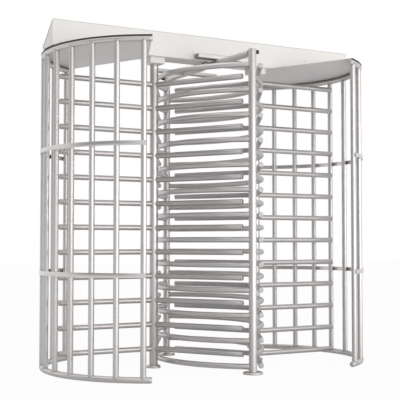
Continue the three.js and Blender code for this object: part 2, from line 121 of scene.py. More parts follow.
class Recipe:
    # a node tree, and the one way in which its nodes are made
    def __init__(self, tree):
        self.tree = tree

    def make(self, kind, settings=None, sockets=None, out=0):
        # settings first, because they decide which sockets there are
        node = self.tree.nodes.new(kind)
        for name, value in (settings or {}).items():
            if name == "captured":
                node.capture_items.new(value, "held")
            else:
                setattr(node, name, value)
        for key, value in (sockets or {}).items():
            if isinstance(value, Wire):
                self.link(node, {key: value})
            else:
                node.inputs[key].default_value = value
        return Wire(self, node.outputs[out] if node.outputs else None)

    def link(self, node, links):
        for key, wire in links.items():
            self.tree.links.new(wire.socket, node.inputs[key])

    def noise(self, vector, scale=1.0, detail=3.0, roughness=0.5):
        sockets = {"Vector": vector, "Scale": scale, "Detail": detail, "Roughness": roughness}
        return self.make("ShaderNodeTexNoise", None, sockets)

    def blend(self, share, dark, light):
        # a colour between two; 6 and 7 are the colour inputs of a Mix node, 2 its colour output
        sockets = {0: share, 6: (*dark, 1), 7: (*light, 1)}
        return self.make("ShaderNodeMix", {"data_type": "RGBA"}, sockets, 2)

    def stretched(self, vector, by):
        settings = {"operation": "MULTIPLY"}
        return self.make("ShaderNodeVectorMath", settings, {0: vector, 1: by})

    def bump(self, height, strength, distance):
        sockets = {"Height": height, "Strength": strength, "Distance": distance}
        return self.make("ShaderNodeBump", None, sockets)


def newMaterial(name, constants):
    # a material with its shader's fixed values set, its recipe, and the place on the object
    material = bpy.data.materials.new(name)
    material.use_nodes = True
    recipe = Recipe(material.node_tree)
    for key, value in constants.items():
        material.node_tree.nodes["Principled BSDF"].inputs[key].default_value = value
    return material, recipe, recipe.make("ShaderNodeTexCoord", out="Object")


def finished(material, recipe, look, tone, rough, height):
    # the tone picks a colour between the look's dark and light; the height is the relief
    recipe.link(material.node_tree.nodes["Principled BSDF"], {
        "Base Color": recipe.blend(tone, look["dark"], look["light"]),
        "Roughness": rough,
        "Normal": recipe.bump(height, look["bump"], look["depth"]),
    })
    return material


def tubeSteel(name, look):
    # brushed along the tube; "straight" is the place on the tube as if it were unbent
    material, recipe, place = newMaterial(name, {"Metallic": 1.0})
    straight = recipe.make("ShaderNodeAttribute", {"attribute_name": "straight"}, out="Vector")
    grain = recipe.noise(recipe.stretched(straight, look["grainStretch"]), detail=2.0)
    fine = recipe.noise(recipe.stretched(straight, look["fineStretch"]), detail=1.0)
    cloud = recipe.noise(place, look["cloudScale"], roughness=0.6)
    byGrain, byFine, byCloud = look["toneShares"]
    tone = (grain * byGrain + fine * byFine + cloud * byCloud).kept()
    rough = look["rough"] + grain.around(look["grainRough"]) + cloud.around(look["cloudRough"])
    byGrain, byFine = look["reliefShares"]
    return finished(material, recipe, look, tone, rough, grain * byGrain + fine * byFine)


def powderCoat(name, look):
    # sprayed paint: fine orange peel, and broad patches that differ slightly in shade and gloss
    material, recipe, place = newMaterial(name, {"Metallic": 0.0})
    peel = recipe.noise(place, look["peelScale"], detail=2.0)
    patch = recipe.noise(place, look["patchScale"], roughness=0.6)
    rough = look["rough"] + patch.around(look["patchRough"]) + peel.around(look["peelRough"])
    return finished(material, recipe, look, patch.contrasted(look["contrast"]), rough, peel)


def moulded(name, look):
    # rubber and plastic: matt grain with faint rubbed patches
    material, recipe, place = newMaterial(name, {"Metallic": 0.0})
    grain = recipe.noise(place, look["grainScale"], roughness=0.7)
    rubbed = recipe.noise(place, look["rubScale"], detail=2.0)
    rough = look["rough"] + grain.around(look["grainRough"]) - rubbed.around(look["rubRough"])
    return finished(material, recipe, look, rubbed.contrasted(look["contrast"]), rough, grain)


def plated(name, look):
    # zinc plate: cloudy spangle with a slight change of gloss
    material, recipe, place = newMaterial(name, {"Metallic": 1.0})
    spangle = {"Vector": place, "Scale": look["spangleScale"]}
    cells = recipe.make("ShaderNodeTexVoronoi", None, spangle)
    cloud = recipe.noise(place, look["cloudScale"])
    byCells, byCloud = look["toneShares"]
    tone = (cells * byCells + cloud * byCloud).kept()
    rough = look["rough"] + cloud.around(look["cloudRough"])
    return finished(material, recipe, look, tone, rough, cloud)


tubeLook = {
    "grainStretch": (6.0, 260.0, 260.0),
    "fineStretch": (60.0, 1400.0, 1400.0),
    "cloudScale": 5.0,
    "toneShares": (0.5, 0.2, 0.3),  # of the grain, the fine grain and the cloud
    "reliefShares": (0.6, 0.4),  # of the grain and the fine grain
    "grainRough": 0.12,
    "cloudRough": 0.14,
    "bump": 0.12,
    "depth": 0.0002,
}
satinSteel = tubeSteel("satinSteel", {
    **tubeLook,
    "dark": (0.53, 0.513, 0.506),
    "light": (0.63, 0.610, 0.602),
    "rough": 0.38,
})
# the arms are a darker copy of the tube steel: the darker colour is painted shade, as the
# close-set arms shade each other, and their higher roughness leaves them a little duller
shadedArmSteel = tubeSteel("shadedArmSteel", {
    **tubeLook,
    "dark": (0.48, 0.463, 0.457),
    "light": (0.57, 0.550, 0.543),
    "rough": 0.46,
})
# the flat bands are rolled brighter than the tubes
bandSteel = tubeSteel("bandSteel", {
    **tubeLook,
    "dark": (0.58, 0.565, 0.556),
    "light": (0.68, 0.664, 0.655),
    "rough": 0.27,
    "grainRough": 0.10,
    "cloudRough": 0.12,
    "bump": 0.10,
})
weldSteel = tubeSteel("weldSteel", {
    **tubeLook,
    "dark": (0.29, 0.28, 0.273),
    "light": (0.43, 0.417, 0.408),
    "rough": 0.42,
    "grainStretch": (900.0, 300.0, 300.0),
    "fineStretch": (1500.0, 900.0, 900.0),
    "cloudScale": 40.0,
    "grainRough": 0.2,
    "cloudRough": 0.2,
    "bump": 0.5,
    "depth": 0.0006,
})
coatLook = {
    "rough": 0.5,
    "peelScale": 500.0,
    "patchScale": 9.0,
    "patchRough": 0.15,
    "peelRough": 0.06,
    "contrast": 1.2,
    "bump": 0.12,
    "depth": 0.0002,
}
headerPaint = powderCoat("headerPaint", {
    **coatLook,
    "dark": (0.84, 0.814, 0.788),
    "light": (0.91, 0.885, 0.861),
    "rough": 0.42,
    "peelScale": 420.0,
    "patchScale": 2.2,
    "patchRough": 0.12,
    "bump": 0.10,
})
panelPaint = powderCoat("panelPaint", {
    **coatLook,
    "dark": (0.74, 0.726, 0.718),
    "light": (0.83, 0.815, 0.807),
    "peelScale": 380.0,
    "patchScale": 3.0,
    "bump": 0.08,
})
boxPaint = powderCoat("boxPaint", {
    **coatLook,
    "dark": (0.24, 0.25, 0.26),
    "light": (0.31, 0.32, 0.33),
    "bump": 0.15,
})
seamPaint = powderCoat("seamPaint", {
    **coatLook,
    "dark": (0.60, 0.59, 0.575),
    "light": (0.68, 0.67, 0.655),
    "peelScale": 420.0,
    "patchScale": 3.0,
    "patchRough": 0.12,
    "bump": 0.08,
})
endPaint = powderCoat("endPaint", {
    **coatLook,
    "dark": (0.24, 0.222, 0.206),
    "light": (0.31, 0.290, 0.270),
    "patchScale": 12.0,
})
# dark paint for the light fitting's underside: painted shade under the fitting
railShadePaint = powderCoat("railShadePaint", {
    **coatLook,
    "dark": (0.18, 0.166, 0.153),
    "light": (0.25, 0.232, 0.217),
})
mouldLook = {"grainRough": 0.15, "rubRough": 0.1, "contrast": 1.4, "depth": 0.0002}
edgeRubber = moulded("edgeRubber", {
    **mouldLook,
    "dark": (0.026, 0.023, 0.021),
    "light": (0.050, 0.045, 0.042),
    "rough": 0.55,
    "grainScale": 900.0,
    "rubScale": 14.0,
    "bump": 0.25,
})
capPlastic = moulded("capPlastic", {
    **mouldLook,
    "dark": (0.012, 0.012, 0.012),
    "light": (0.026, 0.025, 0.025),
    "rough": 0.42,
    "grainScale": 1200.0,
    "rubScale": 30.0,
    "bump": 0.12,
})
opalPlastic = moulded("opalPlastic", {
    **mouldLook,
    "dark": (0.89, 0.872, 0.852),
    "light": (0.95, 0.935, 0.918),
    "rough": 0.38,
    "grainScale": 700.0,
    "rubScale": 6.0,
    "bump": 0.05,
})
plateLook = {"toneShares": (0.6, 0.5), "cloudRough": 0.2}
zincPlate = plated("zincPlate", {
    **plateLook,
    "dark": (0.36, 0.37, 0.38),
    "light": (0.52, 0.53, 0.54),
    "rough": 0.4,
    "spangleScale": 160.0,
    "cloudScale": 40.0,
    "bump": 0.08,
    "depth": 0.0003,
})
brightPlate = plated("brightPlate", {
    **plateLook,
    "dark": (0.84, 0.84, 0.84),
    "light": (0.92, 0.92, 0.92),
    "rough": 0.16,
    "spangleScale": 120.0,
    "cloudScale": 60.0,
    "bump": 0.03,
    "depth": 0.0002,
})
print("finishes made")


# how finely the shapes are made; angles in degrees
making = {
    "together": 1e-6,  # points closer than this are one
    "flat": 1,  # on a dressed solid, faces that meet at less than this become one
    "sharp": 35,  # faces that meet at more than this keep a hard edge
    "sharpDressed": 30,
    "roundFrom": 30,
    "roundFromDressed": 32,
    "sideShare": 0.49,  # the most of a side that one rounded corner takes
    "bendSteps": 4,
    "weldSides": 6,
    "weldPoints": 28,
    "usualRadius": 0.02,  # the grain is laid on as if each bar had this radius
}


def meshObject(name, points, faces, edges=(), material=None):
    mesh = bpy.data.meshes.new(name)
    mesh.from_pydata([tuple(p) for p in points], list(edges), list(faces))
    mesh.update()
    piece = bpy.data.objects.new(name, mesh)
    bpy.context.scene.collection.objects.link(piece)
    if material:
        mesh.materials.append(material)
    return piece


def setStraight(piece, values):
    # where each point lies on the tube as if it were straight, for the grain
    held = piece.data.attributes.new("straight", "FLOAT_VECTOR", "POINT")
    held.data.foreach_set("vector", np.asarray(values, np.float32).ravel())


def shaded(piece, sharp=making["sharp"]):
    # smooth, with hard edges where two faces meet at more than the angle
    piece.data.shade_smooth()
    piece.data.set_sharp_from_angle(angle=math.radians(sharp))
    return piece


def outward(piece, flat=0):
    # joins double points, turns all faces outwards and clears edges on flat faces
    shell = bmesh.new()
    shell.from_mesh(piece.data)
    bmesh.ops.remove_doubles(shell, verts=shell.verts, dist=making["together"])
    bmesh.ops.recalc_face_normals(shell, faces=shell.faces)
    if flat:
        bmesh.ops.dissolve_limit(shell, angle_limit=math.radians(flat), verts=shell.verts,
                                 edges=shell.edges)
    shell.to_mesh(piece.data)
    shell.free()
    return piece


def settled(piece):
    # what the modifiers make becomes the piece's own plain mesh
    graph = bpy.context.evaluated_depsgraph_get()
    made = bpy.data.meshes.new_from_object(
        piece.evaluated_get(graph), preserve_all_data_layers=True, depsgraph=graph)
    piece.modifiers.clear()
    piece.data = made
    return piece


def edgesRounded(piece, width, segments, angle=making["roundFrom"]):
    rounding = piece.modifiers.new("rounding", "BEVEL")
    rounding.width = width
    rounding.segments = segments
    rounding.limit_method = "ANGLE"
    rounding.angle_limit = math.radians(angle)
    return settled(piece)


def moved(piece, matrix):
    piece.data.transform(matrix)
    return piece


def joined(name, pieces):
    # one object of several; their finishes and marks are kept
    first = pieces[0]
    with bpy.context.temp_override(active_object=first, selected_editable_objects=pieces):
        bpy.ops.object.join()
    first.name = name
    first.data.name = name
    return first


def softened(points, cut, steps=3):
    # an open outline with its inner corners rounded
    points = [Vector(p) for p in points]
    made = [points[0]]
    for before, corner, after in zip(points, points[1:], points[2:]):
        back, ahead = before - corner, after - corner
        size = min(cut, back.length * making["sideShare"], ahead.length * making["sideShare"])
        start = corner + back.normalized() * size
        end = corner + ahead.normalized() * size
        for step in range(steps + 1):
            t = step / steps
            made.append(start * (1 - t) ** 2 + corner * 2 * t * (1 - t) + end * t * t)
    made.append(points[-1])
    return made


def softenedLoop(corners, cut, steps=3):
    # a closed outline, from a point on one of its straight sides, with its corners rounded
    return softened([*corners, corners[0]], cut, steps)[:-1]


def oblong(left, right, near, far):
    return [(left, near), (right, near), (right, far), (left, far)]


def oblongFromMiddle(halfLong, halfWide, across=0.0):
    # its corners, from the middle of the near side
    near, far = across - halfWide, across + halfWide
    return [(0, near), (halfLong, near), (halfLong, far), (-halfLong, far), (-halfLong, near)]


def turnedPiece(name, profile, material, edge=0.0, steps=3, sides=64):
    # a lathe piece from (radius, height) points, upwards, closed where it meets its axis
    points, faces, marks = [], [], []
    rings = []
    for radius, height in softened(profile, edge, steps) if edge else profile:
        count = sides if radius else 1
        rings.append(list(range(len(points), len(points) + count)))
        for side in range(count):
            turn = 2 * math.pi * side / sides
            points.append((radius * math.cos(turn), radius * math.sin(turn), height))
            marks.append((height, radius * math.cos(turn), radius * math.sin(turn)))
    for low, high in zip(rings, rings[1:]):
        for side in range(sides):
            after = (side + 1) % sides
            if len(low) == 1 and len(high) > 1:
                faces.append((low[0], high[after], high[side]))
            elif len(high) == 1 and len(low) > 1:
                faces.append((low[side], low[after], high[0]))
            elif len(low) > 1:
                faces.append((low[side], low[after], high[after], high[side]))
    piece = meshObject(name, points, faces, material=material)
    setStraight(piece, marks)
    return shaded(piece)


def arcStrip(name, section, span, steps, material):
    # a strip with a closed (radius, height) section, bent about the upright axis
    points, faces = [], []
    count = len(section)
    middle = sum(radius for radius, _ in section) / count
    for step in range(steps + 1):
        turn = math.radians(span[0] + (span[1] - span[0]) * step / steps)
        for radius, height in section:
            points.append((radius * math.cos(turn), radius * math.sin(turn), height))
    for step in range(steps):
        for corner in range(count):
            after = (corner + 1) % count
            row, ahead = step * count, (step + 1) * count
            faces.append((row + corner, row + after, ahead + after, ahead + corner))
    faces.append(tuple(range(count)))
    faces.append(tuple(range(steps * count, (steps + 1) * count)))
    piece = outward(meshObject(name, points, faces, material=material))
    marks = []
    for vertex in piece.data.vertices:
        x, y, height = vertex.co
        marks.append((middle * math.atan2(y, x), math.hypot(x, y) - middle, height))
    setStraight(piece, marks)
    return shaded(piece)


def drawnSlab(name, outline, low, high, material, edge=0.0, segments=2, axis="Z"):
    # an (x, y) outline drawn out upwards, or a (y, z) one along X, with rounded edges
    count = len(outline)
    low, high = sorted((low, high))
    points = [(x, y, low) for x, y in outline] + [(x, y, high) for x, y in outline]
    faces = [tuple(range(count)), tuple(range(count, 2 * count))]
    faces += [(i, (i + 1) % count, (i + 1) % count + count, i + count) for i in range(count)]
    piece = outward(meshObject(name, points, faces, material=material))
    if axis == "X":
        moved(piece, Matrix(((0, 0, 1, 0), (1, 0, 0, 0), (0, 1, 0, 0), (0, 0, 0, 1))))
    if edge:
        edgesRounded(piece, edge, segments)
    return shaded(piece)


def dressed(node, material, edge=0.0006, segments=2):
    # a solid's own shape with its edges broken, for what is right but too sharp
    piece = bpy.data.objects.new(node.replace("_", "."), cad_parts[node].data.copy())
    bpy.context.scene.collection.objects.link(piece)
    outward(piece, making["flat"])
    edgesRounded(piece, edge, segments, making["roundFromDressed"])
    piece.data.materials.clear()
    piece.data.materials.append(material)
    return shaded(piece, making["sharpDressed"])


def newGeometryTree(name, inputs):
    # a Geometry Nodes tree with named inputs; returns its recipe and their wires
    tree = bpy.data.node_groups.new(name, "GeometryNodeTree")
    tree.interface.new_socket("Geometry", in_out="INPUT", socket_type="NodeSocketGeometry")
    for label, kind in inputs.items():
        tree.interface.new_socket(label, in_out="INPUT", socket_type="NodeSocket" + kind)
    tree.interface.new_socket("Geometry", in_out="OUTPUT", socket_type="NodeSocketGeometry")
    recipe = Recipe(tree)
    start = recipe.make("NodeGroupInput")
    return recipe, {label: start.beside(label) for label in ("Geometry", *inputs)}


def closeTree(recipe, geometry, material):
    real = recipe.make("GeometryNodeRealizeInstances", None, {"Geometry": geometry})
    sockets = {"Geometry": real, "Material": material}
    painted = recipe.make("GeometryNodeSetMaterial", None, sockets)
    recipe.make("NodeGroupOutput", None, {0: painted})
    return recipe.tree


def makeTubeTree():
    # a drawn line becomes a round bar; its "girth" at each point is the bar's radius there
    recipe, wires = newGeometryTree("tubeOnLine", {"Sides": "Int", "Material": "Material"})
    curve = recipe.make("GeometryNodeMeshToCurve", None, {"Mesh": wires["Geometry"]})
    along = recipe.make("GeometryNodeSplineParameter", out="Length")
    line = recipe.make("GeometryNodeCaptureAttribute", {"captured": "FLOAT"}, {0: curve, 1: along})
    circle = recipe.make("GeometryNodeCurvePrimitiveCircle", None,
                         {"Resolution": wires["Sides"], "Radius": 1.0})
    place = recipe.make("GeometryNodeInputPosition")
    ring = recipe.make("GeometryNodeCaptureAttribute", {"captured": "VECTOR"},
                       {0: circle, 1: place})
    girth = recipe.make("GeometryNodeInputNamedAttribute", {"data_type": "FLOAT"},
                        {"Name": "girth"})
    tube = recipe.make("GeometryNodeCurveToMesh", None, {
        "Curve": line,
        "Profile Curve": ring,
        "Scale": girth,
        "Fill Caps": True,
    })
    side = recipe.make("ShaderNodeSeparateXYZ", None, {0: ring.beside(1)})
    straight = recipe.make("ShaderNodeCombineXYZ", None, {
        "X": line.beside(1),
        "Y": side * making["usualRadius"],
        "Z": side.beside("Y") * making["usualRadius"],
    })
    marked = recipe.make("GeometryNodeStoreNamedAttribute",
                         {"data_type": "FLOAT_VECTOR", "domain": "POINT"},
                         {"Geometry": tube, "Name": "straight", "Value": straight})
    smooth = recipe.make("GeometryNodeSetShadeSmooth", None,
                         {"Geometry": marked, "Shade Smooth": True})
    return closeTree(recipe, smooth, wires["Material"])


def makeRepeatTree():
    # copies a piece round the upright axis and again at each level
    recipe, wires = newGeometryTree("spokesAndLevels", {
        "Spokes": "Int",
        "Spoke step": "Float",
        "First spoke": "Float",
        "Centre": "Vector",
        "Levels": "Int",
        "Step": "Vector",
        "Material": "Material",
    })
    hub = recipe.make("GeometryNodeMeshLine", None,
                      {"Count": wires["Spokes"], "Offset": (0, 0, 0)})
    index = recipe.make("GeometryNodeInputIndex")
    turn = wires["First spoke"] + index * wires["Spoke step"]
    euler = recipe.make("ShaderNodeCombineXYZ", None, {"Z": turn})
    rotation = recipe.make("FunctionNodeEulerToRotation", None, {"Euler": euler})
    spokes = recipe.make("GeometryNodeInstanceOnPoints", None, {
        "Points": hub,
        "Instance": wires["Geometry"],
        "Rotation": rotation,
    })
    placed = recipe.make("GeometryNodeTransform", None,
                         {"Geometry": spokes, "Translation": wires["Centre"]})
    levels = recipe.make("GeometryNodeMeshLine", None,
                         {"Count": wires["Levels"], "Offset": wires["Step"]})
    stack = recipe.make("GeometryNodeInstanceOnPoints", None,
                        {"Points": levels, "Instance": placed})
    return closeTree(recipe, stack, wires["Material"])


tubeTree = makeTubeTree()
repeatTree = makeRepeatTree()


def run(piece, tree, values):
    # puts a tree on a piece, with its inputs set by their identifiers
    modifier = piece.modifiers.new(tree.name, "NODES")
    modifier.node_group = tree
    for socket in tree.interface.items_tree:
        if socket.in_out == "INPUT" and socket.name in values:
            modifier[socket.identifier] = values[socket.name]
    return settled(piece)


def lineObject(name, points, girths, closed=False):
    edges = [(i, i + 1) for i in range(len(points) - 1)]
    if closed:
        edges.append((len(points) - 1, 0))
    line = meshObject(name, points, [], edges)
    held = line.data.attributes.new("girth", "FLOAT", "POINT")
    held.data.foreach_set("value", np.asarray(girths, np.float32))
    return line


def roundedRun(length, radius, spacing, start=0.0, end=0.0, groove=None):
    # distances along a bar and its radius at each; start and end are the rounding of its
    # edges, and the groove is the joint of its end cap
    steps = making["bendSteps"]
    bends = [quarterTurn * i / steps for i in range(steps + 1)]
    stops = [(0, radius)]
    if start:
        stops = [(start - start * math.cos(t), radius - start + start * math.sin(t))
                 for t in bends]
    plainEnd = length - end
    if groove:
        fromEnd, floorHalf, mouthHalf, deep = groove
        middle = length - fromEnd
        plainEnd = middle - mouthHalf
    count = max(2, round((plainEnd - start) / spacing))
    stops += [(start + (plainEnd - start) * i / count, radius) for i in range(1, count + 1)]
    if groove:
        stops += [(middle - floorHalf, radius - deep), (middle + floorHalf, radius - deep),
                  (middle + mouthHalf, radius)]
    if end:
        stops += [(length - end + end * math.sin(t), radius - end + end * math.cos(t))
                  for t in bends[1:]]
    return stops


def bar(name, points, stops, sides, material):
    line = lineObject(name, points, [girth for _, girth in stops])
    return run(line, tubeTree, {"Sides": sides, "Material": material})


def straightBar(name, start, direction, stops, sides, material):
    points = [Vector(start) + Vector(direction) * place for place, _ in stops]
    return bar(name, points, stops, sides, material)


def bentBar(name, radius, span, height, stops, sides, material):
    # stops are distances along the arc from its first angle
    sign = 1 if span[1] > span[0] else -1
    points = []
    for place, _ in stops:
        turn = math.radians(span[0]) + sign * place / radius
        points.append((radius * math.cos(turn), radius * math.sin(turn), height))
    return bar(name, points, stops, sides, material)


def saddle(main, branch, offset=0.0, count=making["weldPoints"]):
    # where a round branch along +X meets a round upright of the main radius
    points = []
    for i in range(count):
        turn = 2 * math.pi * i / count
        across = offset + branch * math.cos(turn)
        ahead = math.sqrt(max(main**2 - across**2, 0))
        points.append(Vector((ahead, across, branch * math.sin(turn))))
    return points


def weldRing(points, size):
    line = lineObject("ring", points, [size] * len(points), closed=True)
    return run(line, tubeTree, {"Sides": making["weldSides"], "Material": weldSteel})


def repeated(piece, material, spokes=(0, 0, 1), centre=(0, 0, 0), levels=1, step=(0, 0, 0)):
    first, turn, count = spokes
    return run(piece, repeatTree, {
        "First spoke": math.radians(first),
        "Spoke step": math.radians(turn),
        "Spokes": count,
        "Centre": centre,
        "Levels": levels,
        "Step": step,
        "Material": material,
    })


def give(piece, body, slot, *nodes):
    # hands a finished piece to its body
    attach(piece, body)
    if nodes:
        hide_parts(*nodes)


print("tools ready")

# arms of the rotors, welded to their column
arm = {
    "reach": 0.712,
    "radius": 0.019,
    "rootRadius": 0.024,  # of the circle inside the column on which the arms start
    "capRounding": 0.0035,
    "capGroove": (0.0085, 0.0004, 0.0010, 0.0007),  # from the end, half widths, depth
    "spacing": 0.17,
    "sides": 28,
    "weld": 0.0021,
}
for half, facts in halves.items():
    stops = roundedRun(arm["reach"] - arm["rootRadius"], arm["radius"], arm["spacing"],
                       end=arm["capRounding"], groove=arm["capGroove"])
    wing = straightBar("arm", (arm["rootRadius"], 0, 0), (1, 0, 0), stops, arm["sides"], shadedArmSteel)
    wing = repeated(wing, shadedArmSteel, layout["wingAngles"], **levelsOf(half))
    ring = weldRing(saddle(layout["columnRadius"], arm["radius"]), arm["weld"])
    ring = repeated(ring, weldSteel, layout["wingAngles"], **levelsOf(half))
    wings = joined(half + "Wings", [wing, ring])
    moved(wings, halfMatrix(half))
    tiers = ["%s_tier_%02d" % (half, number + 1) for number in range(facts["levels"])]
    give(wings, half + "_rotor", "satin_steel", *tiers)
print("wings made")

# rotor columns, from the foot pin to the spindle in the header
column = {
    "profile": [
        (0, 0.0063), (0.0097, 0.0063), (0.0097, 0.0203), (0.030, 0.0203), (0.030, 2.1118),
        (0.0292, 2.1124), (0.0292, 2.1134), (0.030, 2.1140), (0.030, 2.1513), (0.0147, 2.1513),
        (0.0147, 2.2046), (0.012, 2.2046), (0.012, 2.2259), (0, 2.2259),
    ],
    "edge": 0.0008,
}
for half in halves:
    post = turnedPiece(half + "Column", column["profile"], satinSteel, column["edge"], steps=2)
    moved(post, halfMatrix(half))
    give(post, half + "_rotor", "satin_steel", half + "_rotor_column")

# floor bearings under the columns
pedestal = {
    "profile": [
        (0, 0), (0.050, 0), (0.050, 0.013), (0.043, 0.0197), (0.0345, 0.0197), (0.0103, 0.0197),
        (0.0103, 0.0062), (0, 0.0062),
    ],
    "edge": 0.0016,
}
for half in halves:
    foot = turnedPiece(half + "Pedestal", pedestal["profile"], satinSteel, pedestal["edge"])
    moved(foot, halfMatrix(half))
    give(foot, "frame", "satin_steel", half + "_pedestal")
print("columns and pedestals made")

# side screens: rails, upright bars and flat bands
screen = {
    "radius": 0.776,
    "railRadius": 0.020,
    "barRadius": 0.019,
    "railSpan": (117.5, 242.5),
    "railHeights": (0.022, 2.1739),
    "railRounding": 0.009,
    "railSpacing": 0.02,
    "barSpacing": 0.5,
    "bars": (121.5, 13.0, 10),
    "weld": 0.0020,
    "weldInset": 0.98,  # share of the bar's radius on which its weld lies
    "sides": 28,
}
band = {
    "inner": 0.7953,
    "thick": 0.0048,
    "tall": 0.030,
    "span": (120.3, 239.7),
    "steps": 72,
    "shares": (0.303, 0.691),  # of the bars' length, from the lower rail
    "edge": 0.0008,
}
for half in halves:
    parts = []
    low, high = screen["railHeights"]
    radius, span = screen["radius"], screen["railSpan"]
    length = math.radians(span[1] - span[0]) * radius
    rounding = screen["railRounding"]
    stops = roundedRun(length, screen["railRadius"], screen["railSpacing"], rounding, rounding)
    for height in screen["railHeights"]:
        parts.append(bentBar("rail", radius, span, height, stops, screen["sides"], satinSteel))
    stops = roundedRun(high - low, screen["barRadius"], screen["barSpacing"])
    upright = straightBar("bar", (radius, 0, low), (0, 0, 1), stops, screen["sides"], satinSteel)
    parts.append(repeated(upright, satinSteel, screen["bars"]))
    seat = saddle(screen["railRadius"], screen["barRadius"] * screen["weldInset"])
    for height, sign in ((low, 1), (high, -1)):
        path = [Vector((radius + p.y, p.z, height + sign * p.x)) for p in seat]
        parts.append(repeated(weldRing(path, screen["weld"]), weldSteel, screen["bars"]))
    whole = joined(half + "Screen", parts)
    moved(whole, halfMatrix(half))
    give(whole, "frame", "satin_steel", half + "_screen")
    for number, share in enumerate(band["shares"], 1):
        middle = low + share * (high - low)
        inner, outer = band["inner"], band["inner"] + band["thick"]
        bottom, top = middle - band["tall"] / 2, middle + band["tall"] / 2
        corners = [(inner, middle), (inner, bottom), (outer, bottom), (outer, top), (inner, top)]
        section = softenedLoop(corners, band["edge"], steps=2)
        name = "%sBand%d" % (half, number)
        strip = arcStrip(name, section, band["span"], band["steps"], bandSteel)
        moved(strip, halfMatrix(half))
        give(strip, "frame", "satin_steel", "%s_band_%d" % (half, number))
print("screens made")

# combs: a post with curved hoops that reach round to the other comb's post
comb = {
    "radius": 0.760,
    "tube": 0.019,
    "spacing": 0.022,
    "intoPost": 0.020,  # how far short of the other post's axis a hoop stops
    "sides": 28,
    "weld": 0.0021,
    "weldTurn": 91,  # between a hoop, where it leaves its post, and the line to the rotor's axis
    "postRadius": 0.027,
    "post": [
        (0, 0.0), (0.0682, 0.0), (0.0682, 0.011), (0.062, 0.017), (0.030, 0.017),
        (0.0272, 0.0195), (0.027, 0.0225), (0.027, 2.195), (0.024, 2.198), (0, 2.198),
    ],
    "edge": 0.0025,
}
postAngle = math.acos(layout["axisOffset"] / comb["radius"])
for half, facts in halves.items():
    length = 2 * postAngle * comb["radius"] - comb["intoPost"]
    stops = roundedRun(length, comb["tube"], comb["spacing"])
    span = (math.degrees(postAngle), -math.degrees(postAngle))
    hoop = bentBar("hoop", comb["radius"], span, 0, stops, comb["sides"], satinSteel)
    hoop = repeated(hoop, satinSteel, **levelsOf(half))
    outwards = Matrix.Translation((comb["radius"], 0, 0))
    post = turnedPiece("post", comb["post"], satinSteel, comb["edge"])
    moved(post, Matrix.Rotation(postAngle, 4, "Z") @ outwards)
    parts = [post, hoop]
    for sign in (1, -1):
        stand = Matrix.Rotation(sign * postAngle, 4, "Z") @ outwards
        towards = stand @ Matrix.Rotation(math.radians(-sign * comb["weldTurn"]), 4, "Z")
        path = [towards @ p for p in saddle(comb["postRadius"], comb["tube"])]
        parts.append(repeated(weldRing(path, comb["weld"]), weldSteel, **levelsOf(half)))
    whole = joined(facts["comb"] + "Comb", parts)
    moved(whole, halfMatrix(half))
    give(whole, "frame", "satin_steel", facts["comb"] + "_comb")
print("combs made")

# ceiling sheets with rubber round the curved edge
ceiling = {
    "radius": 0.790,
    "span": (117.5, 242.5),
    "steps": 80,
    "innerEdge": -0.086,
    "innerHalf": 0.085,
    "low": 2.1942,
    "high": 2.1966,
    "edge": 0.0005,
    "screwHead": [(0, -0.0022), (0.0030, -0.0021), (0.0052, -0.0014), (0.0062, 0), (0, 0.0004)],
    "screwRadius": 0.742,
    "screws": (126.0, 27.0, 5),
}
edging = {
    "inner": 0.7903,
    "outer": 0.7953,
    "low": 2.1898,
    "closeAt": 2.1938,  # height on its inner side at which the outline closes
    "high": 2.1966,
    "edge": 0.0018,
}
for half in halves:
    first, last = ceiling["span"]
    outline = []
    for step in range(ceiling["steps"] + 1):
        turn = math.radians(first + (last - first) * step / ceiling["steps"])
        outline.append((ceiling["radius"] * math.cos(turn), ceiling["radius"] * math.sin(turn)))
    outline.append((ceiling["innerEdge"], -ceiling["innerHalf"]))
    outline.append((ceiling["innerEdge"], ceiling["innerHalf"]))
    sheet = drawnSlab("sheet", outline, ceiling["low"], ceiling["high"], panelPaint,
                      ceiling["edge"])
    screw = turnedPiece("screw", ceiling["screwHead"], zincPlate, sides=20)
    moved(screw, Matrix.Translation((ceiling["screwRadius"], 0, ceiling["low"])))
    screws = repeated(screw, zincPlate, ceiling["screws"])
    whole = joined(half + "Ceiling", [sheet, screws])
    moved(whole, halfMatrix(half))
    give(whole, "frame", "grey_sheet", half + "_ceiling_panel")
    inner, outer = edging["inner"], edging["outer"]
    corners = [
        (inner, edging["closeAt"]), (inner, edging["low"]), (outer, edging["low"]),
        (outer, edging["high"]), (inner, edging["high"]),
    ]
    section = softenedLoop(corners, edging["edge"])
    rim = arcStrip(half + "Edging", section, ceiling["span"], ceiling["steps"], edgeRubber)
    moved(rim, halfMatrix(half))
    give(rim, "frame", "black_rubber", half + "_panel_edging")
print("ceilings made")

# bearing housings under the header
housing = {
    "halfLong": 0.060,
    "halfWide": 0.060,
    "corner": 0.014,
    "low": 2.1517,
    "high": 2.1966,
    "edge": 0.004,
}
for half in halves:
    corners = oblongFromMiddle(housing["halfLong"], housing["halfWide"])
    outline = softenedLoop(corners, housing["corner"], steps=6)
    block = drawnSlab(half + "Housing", outline, housing["low"], housing["high"], headerPaint,
                      housing["edge"], segments=3)
    moved(block, halfMatrix(half))
    give(block, "frame", "painted_sheet", half + "_bearing_housing")

